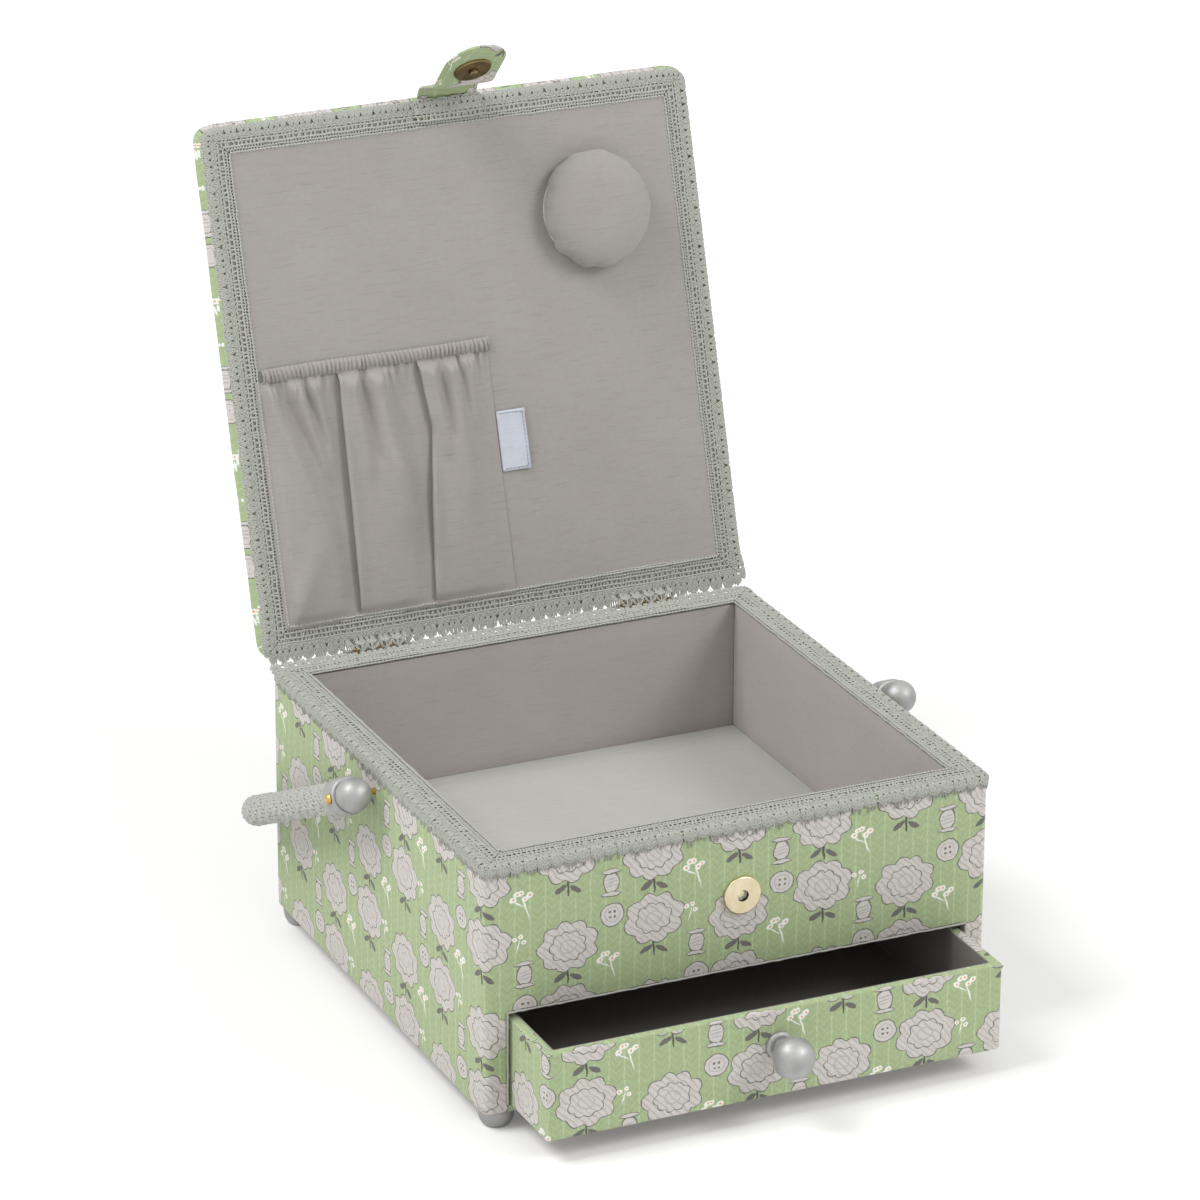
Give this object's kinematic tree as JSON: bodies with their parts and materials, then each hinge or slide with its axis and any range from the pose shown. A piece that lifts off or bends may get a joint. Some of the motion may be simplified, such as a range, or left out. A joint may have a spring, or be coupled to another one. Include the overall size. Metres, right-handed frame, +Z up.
{
  "type": "sewing box",
  "caption": "Square cloth-covered sewing box, shown open: hinged padded lid with pleated pocket and pin cushion, lined compartment, pull-out drawer, hoop handle and snap tab.",
  "frame": {"origin": "centre of the case's flat underside, inside the ring of feet", "axes": "+X to the box's right, +Y to its back where the hinges are, +Z up; the lid stands open and the drawer is pulled out 40 mm"},
  "size_m": [0.3002, 0.4061, 0.4116],
  "materials": {
    "board": "bare fibreboard, hidden by cloth",
    "wall_lining": "plain taupe lining cloth, matt",
    "floor_lining": "plain light grey lining cloth, matt",
    "printed_cloth": null,
    "wadding": "polyester wadding",
    "card": "plain card",
    "braid": "light grey openwork lace braid, matt",
    "label": "woven blank label, pale blue-grey",
    "silver_paint": "silver paint on turned wood, satin",
    "brass": "yellow brass, satin",
    "snap_brass": "aged brass, satin",
    "steel": "plain steel",
    "magnet": "dark magnet",
    "wound_yarn": "fine pale grey yarn plaited round the wire, matt"
  },
  "bodies": {
    "case": {"base_board": "board", "front_panel": "board", "back_panel": "board", "left_panel": "board", "right_panel": "board", "shelf_board": "board", "floor_lining": "floor_lining", "front_lining": "wall_lining", "back_lining": "wall_lining", "left_lining": "wall_lining", "right_lining": "wall_lining", "case_cover": "printed_cloth", "rim_braid": "braid", "foot_front_left": "silver_paint", "foot_front_right": "silver_paint", "foot_back_left": "silver_paint", "foot_back_right": "silver_paint", "foot_screws": "steel", "left_hinge_case_leaf": "brass", "right_hinge_case_leaf": "brass", "left_hinge_pin": "steel", "right_hinge_pin": "steel", "case_hinge_nails": "brass", "snap_socket": "snap_brass", "snap_magnet": "magnet", "snap_rivet": "steel", "snap_washer": "steel", "handle_screw_left": "brass", "handle_screw_right": "brass"},
    "lid": {"lid_board": "board", "lid_padding": "wadding", "lid_cover": "printed_cloth", "lid_lining": "wall_lining", "lid_braid": "braid", "left_hinge_lid_leaf": "brass", "right_hinge_lid_leaf": "brass", "lid_hinge_nails": "brass", "pocket": "wall_lining", "pocket_band": "wall_lining", "seam_label": "label", "pin_cushion": "wall_lining", "pin_cushion_card": "card", "tab_root": "printed_cloth"},
    "tab": {"tab_strap": "printed_cloth", "snap_stud": "snap_brass"},
    "drawer": {"drawer_front": "board", "drawer_back": "board", "drawer_left_side": "board", "drawer_right_side": "board", "drawer_bottom": "board", "drawer_liner": "floor_lining", "drawer_cover": "printed_cloth", "drawer_knob": "silver_paint", "drawer_knob_screw": "steel"},
    "handle": {"handle_core": "steel", "handle_grip": "wound_yarn", "handle_end_left": "silver_paint", "handle_end_right": "silver_paint"}
  },
  "joints": [
    {"name": "lid_hinge", "type": "hinge", "parent": "case", "child": "lid", "pos_m": [0, 0.128, 0.1221], "axis": [1, 0, 0], "range_deg": [0, 107]},
    {"name": "tab_fold", "type": "hinge", "parent": "lid", "child": "tab", "pos_m": [0, 0.18558, 0.37439], "axis": [1, 0, 0], "range_deg": [-60, 29]},
    {"name": "drawer_slide", "type": "slide", "parent": "case", "child": "drawer", "axis": [0, -1, 0], "range_m": [-0.04, 0.125]},
    {"name": "handle_swing", "type": "hinge", "parent": "case", "child": "handle", "pos_m": [0, -0.002, 0.1085], "axis": [1, 0, 0], "range_deg": [0, 26]}
  ]
}
